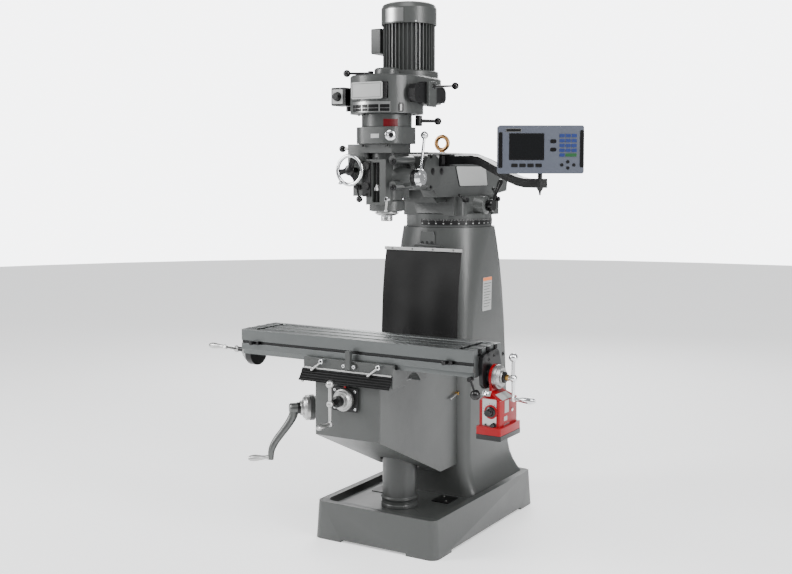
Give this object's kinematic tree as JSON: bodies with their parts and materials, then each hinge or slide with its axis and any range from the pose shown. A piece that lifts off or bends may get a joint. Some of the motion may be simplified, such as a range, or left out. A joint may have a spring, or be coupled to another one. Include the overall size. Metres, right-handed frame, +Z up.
{
  "type": "vertical milling machine",
  "caption": "Knee-type turret milling machine with a tilting head, sliding ram, rising knee, cross saddle, table with power feed and a swinging position display.",
  "frame": {"origin": "on the floor below the turret's swivel axis, on the base's underside", "axes": "+Z up, -Y toward the operator, +X to the operator's right along the table"},
  "size_m": [1.5885, 1.3871, 2.2096],
  "materials": {
    "grey_paint": "semi-gloss paint over iron",
    "red_paint": "semi-gloss red paint",
    "ground_steel": "ground",
    "chrome": "polished",
    "satin_metal": "satin turned",
    "black_oxide": "black oxide",
    "black_plastic": "moulded",
    "rubber": "dull black sheet",
    "yellow_zinc": "yellow zinc plate",
    "console_paint": "grey-blue powder coat"
  },
  "bodies": {
    "base": {"column_base": "grey_paint", "screw_pedestal": "grey_paint", "way_cover_bar": "satin_metal", "way_cover": "rubber"},
    "turret": {"turret": "grey_paint"},
    "ram": {"ram": "grey_paint", "eyebolt": "yellow_zinc", "display_bracket": "black_oxide"},
    "ram_lock_front": {"ram_lock_front": "black_oxide"},
    "ram_lock_rear": {"ram_lock_rear": "black_oxide"},
    "ram_pinion_lever": {"ram_pinion_lever": "black_plastic"},
    "display_arm": {"display_arm": "black_oxide"},
    "display_console": {"display_console": "console_paint"},
    "ram_adapter": {"ram_adapter": "grey_paint"},
    "head": {"head_casting": "grey_paint", "gear_box": "grey_paint", "clutch_ring": "grey_paint", "belt_housing": "grey_paint", "motor_body": "grey_paint", "fan_cover": "grey_paint", "terminal_box": "grey_paint", "switch_box": "black_plastic", "speed_bracket": "black_oxide", "quill_stop_screw": "satin_metal", "drive_belt": "rubber"},
    "quill": {"quill": "satin_metal"},
    "spindle": {"spindle": "satin_metal"},
    "spindle_pulley": {"spindle_pulley": "satin_metal"},
    "motor_pulley": {"motor_pulley": "satin_metal"},
    "feed_hub": {"feed_hub": "chrome"},
    "hand_wheel": {"hand_wheel": "black_plastic"},
    "quill_lock": {"quill_lock": "chrome"},
    "trip_lever": {"trip_lever": "black_oxide"},
    "select_knob": {"select_knob": "satin_metal"},
    "brake_lever": {"brake_lever": "black_oxide"},
    "speed_lever": {"speed_lever": "black_oxide"},
    "gear_lever": {"gear_lever": "black_oxide"},
    "back_gear_knob": {"back_gear_knob": "chrome"},
    "switch_knob": {"switch_knob": "black_plastic"},
    "quill_stop_nut": {"quill_stop_nut": "chrome"},
    "knee": {"knee": "grey_paint"},
    "elevating_screw": {"elevating_screw": "satin_metal"},
    "knee_crank": {"knee_crank": "satin_metal", "knee_dial": "satin_metal"},
    "knee_lock": {"knee_lock": "chrome"},
    "saddle": {"saddle": "grey_paint", "stop_bracket": "grey_paint"},
    "saddle_lock_left": {"saddle_lock_left": "chrome"},
    "saddle_lock_right": {"saddle_lock_right": "chrome"},
    "cross_crank": {"cross_crank": "chrome", "cross_dial": "satin_metal"},
    "table": {"table": "ground_steel", "left_bracket": "black_oxide", "right_bracket": "black_oxide", "feed_housing": "red_paint"},
    "table_screw": {"table_screw": "satin_metal", "left_crank": "satin_metal", "right_crank": "chrome"},
    "feed_knob": {"feed_knob": "black_plastic"},
    "feed_lever": {"feed_lever": "black_plastic"}
  },
  "joints": [
    {"name": "turret_swivel", "type": "hinge", "parent": "base", "child": "turret", "pos_m": [0, 0, 1.2763], "axis": [0, 0, 1], "range_deg": [-180, 180]},
    {"name": "ram_slide", "type": "slide", "parent": "turret", "child": "ram", "axis": [0, 1, 0], "range_m": [-0.15, 0.155]},
    {"name": "ram_lock_front_turn", "type": "hinge", "parent": "turret", "child": "ram_lock_front", "pos_m": [0.1593, -0.143, 1.3953], "axis": [1, 0, 0], "range_deg": [-30, 30]},
    {"name": "ram_lock_rear_turn", "type": "hinge", "parent": "turret", "child": "ram_lock_rear", "pos_m": [0.1943, 0.089, 1.3953], "axis": [1, 0, 0], "range_deg": [-30, 30]},
    {"name": "ram_pinion_turn", "type": "hinge", "parent": "turret", "child": "ram_pinion_lever", "pos_m": [0.216, -0.02, 1.3703], "axis": [1, 0, 0], "continuous": true},
    {"name": "display_arm_swing", "type": "hinge", "parent": "ram", "child": "display_arm", "pos_m": [0.15, -0.285, 1.5631], "axis": [0, 0, 1], "range_deg": [-8, 80]},
    {"name": "display_turn", "type": "hinge", "parent": "display_arm", "child": "display_console", "pos_m": [0.704, -0.606, 1.5101], "axis": [0, 0, 1], "range_deg": [-60, 60]},
    {"name": "head_nod", "type": "hinge", "parent": "ram", "child": "ram_adapter", "pos_m": [0, -0.357, 1.5131], "axis": [1, 0, 0], "range_deg": [-30, 45]},
    {"name": "head_tilt", "type": "hinge", "parent": "ram_adapter", "child": "head", "pos_m": [0, -0.452, 1.5131], "axis": [0, 1, 0], "range_deg": [-90, 45]},
    {"name": "quill_slide", "type": "slide", "parent": "head", "child": "quill", "axis": [0, 0, 1], "range_m": [-0.127, 0]},
    {"name": "spindle_turn", "type": "hinge", "parent": "quill", "child": "spindle", "pos_m": [0, -0.528, 1.5131], "axis": [0, 0, 1], "continuous": true},
    {"name": "spindle_pulley_turn", "type": "hinge", "parent": "head", "child": "spindle_pulley", "pos_m": [0, -0.528, 1.815], "axis": [0, 0, 1], "continuous": true},
    {"name": "motor_pulley_turn", "type": "hinge", "parent": "head", "child": "motor_pulley", "pos_m": [0, -0.353, 1.815], "axis": [0, 0, 1], "continuous": true},
    {"name": "feed_hub_turn", "type": "hinge", "parent": "head", "child": "feed_hub", "pos_m": [0.1283, -0.528, 1.4931], "axis": [1, 0, 0], "range_deg": [-10, 450]},
    {"name": "hand_wheel_turn", "type": "hinge", "parent": "head", "child": "hand_wheel", "pos_m": [-0.105, -0.6405, 1.5221], "axis": [0, 1, 0], "continuous": true},
    {"name": "quill_lock_turn", "type": "hinge", "parent": "head", "child": "quill_lock", "pos_m": [0.064, -0.6313, 1.4091], "axis": [0, 1, 0], "range_deg": [-60, 30]},
    {"name": "trip_lever_turn", "type": "hinge", "parent": "head", "child": "trip_lever", "pos_m": [-0.086, -0.6186, 1.4571], "axis": [0, 1, 0], "range_deg": [-20, 20]},
    {"name": "select_knob_pull", "type": "slide", "parent": "head", "child": "select_knob", "axis": [-1, 0, 0], "range_m": [0, 0.008]},
    {"name": "brake_lever_turn", "type": "hinge", "parent": "head", "child": "brake_lever", "pos_m": [-0.07, -0.538, 1.9113], "axis": [0, 0, 1], "range_deg": [-25, 20]},
    {"name": "speed_lever_turn", "type": "hinge", "parent": "head", "child": "speed_lever", "pos_m": [0.1838, -0.48, 1.853], "axis": [1, 0, 0], "range_deg": [-30, 30]},
    {"name": "gear_lever_turn", "type": "hinge", "parent": "head", "child": "gear_lever", "pos_m": [0.118, -0.476, 1.7197], "axis": [0, 0, 1], "range_deg": [-30, 20]},
    {"name": "back_gear_knob_turn", "type": "hinge", "parent": "head", "child": "back_gear_knob", "pos_m": [0.07622, -0.62556, 1.6594], "axis": [0.6157, -0.788, 0], "range_deg": [-90, 90]},
    {"name": "switch_knob_turn", "type": "hinge", "parent": "head", "child": "switch_knob", "pos_m": [-0.1875, -0.6043, 1.819], "axis": [0, 1, 0], "range_deg": [-60, 60]},
    {"name": "stop_nut_slide", "type": "slide", "parent": "head", "child": "quill_stop_nut", "axis": [0, 0, 1], "range_m": [-0.04, 0.08]},
    {"name": "knee_slide", "type": "slide", "parent": "base", "child": "knee", "axis": [0, 0, 1], "range_m": [0, 0.4], "deforming": ["way_cover"]},
    {"name": "elevating_screw_turn", "type": "hinge", "parent": "knee", "child": "elevating_screw", "pos_m": [0, -0.428, 0.7305], "axis": [0, 0, 1], "continuous": true},
    {"name": "knee_crank_turn", "type": "hinge", "parent": "knee", "child": "knee_crank", "pos_m": [-0.268, -0.696, 0.557], "axis": [-0.7071, -0.7071, 0], "continuous": true},
    {"name": "knee_lock_turn", "type": "hinge", "parent": "knee", "child": "knee_lock", "pos_m": [0.1578, -0.2145, 0.576], "axis": [1, 0, 0], "range_deg": [-25, 25]},
    {"name": "saddle_slide", "type": "slide", "parent": "knee", "child": "saddle", "axis": [0, 1, 0], "range_m": [-0.03, 0.275]},
    {"name": "saddle_lock_left_turn", "type": "hinge", "parent": "saddle", "child": "saddle_lock_left", "pos_m": [-0.108, -0.8323, 0.781], "axis": [0, 1, 0], "range_deg": [-20, 20]},
    {"name": "saddle_lock_right_turn", "type": "hinge", "parent": "saddle", "child": "saddle_lock_right", "pos_m": [0.153, -0.8323, 0.781], "axis": [0, 1, 0], "range_deg": [-20, 20]},
    {"name": "cross_crank_turn", "type": "hinge", "parent": "knee", "child": "cross_crank", "pos_m": [0, -0.8363, 0.6435], "axis": [0, 1, 0], "continuous": true},
    {"name": "table_slide", "type": "slide", "parent": "saddle", "child": "table", "axis": [1, 0, 0], "range_m": [-0.29, 0.29]},
    {"name": "table_screw_turn", "type": "hinge", "parent": "table", "child": "table_screw", "pos_m": [0, -0.6855, 0.764], "axis": [1, 0, 0], "continuous": true},
    {"name": "feed_knob_turn", "type": "hinge", "parent": "table", "child": "feed_knob", "pos_m": [0.5855, -0.7603, 0.648], "axis": [0, 1, 0], "range_deg": [-150, 150]},
    {"name": "feed_lever_turn", "type": "hinge", "parent": "table", "child": "feed_lever", "pos_m": [0.529, -0.813, 0.77], "axis": [0, 1, 0], "range_deg": [-20, 20]}
  ],
  "couplings": [
    {"joint": "ram_pinion_turn", "follows": "ram_slide", "rad_per_m": -50},
    {"joint": "spindle_pulley_turn", "follows": "spindle_turn", "ratio": 1},
    {"joint": "motor_pulley_turn", "follows": "spindle_turn", "ratio": 1.8},
    {"joint": "feed_hub_turn", "follows": "quill_slide", "rad_per_m": -55.6},
    {"joint": "elevating_screw_turn", "follows": "knee_slide", "rad_per_m": 1236.8},
    {"joint": "knee_crank_turn", "follows": "knee_slide", "rad_per_m": 2473.7},
    {"joint": "cross_crank_turn", "follows": "saddle_slide", "rad_per_m": 1236.8},
    {"joint": "table_screw_turn", "follows": "table_slide", "rad_per_m": -1236.8}
  ]
}
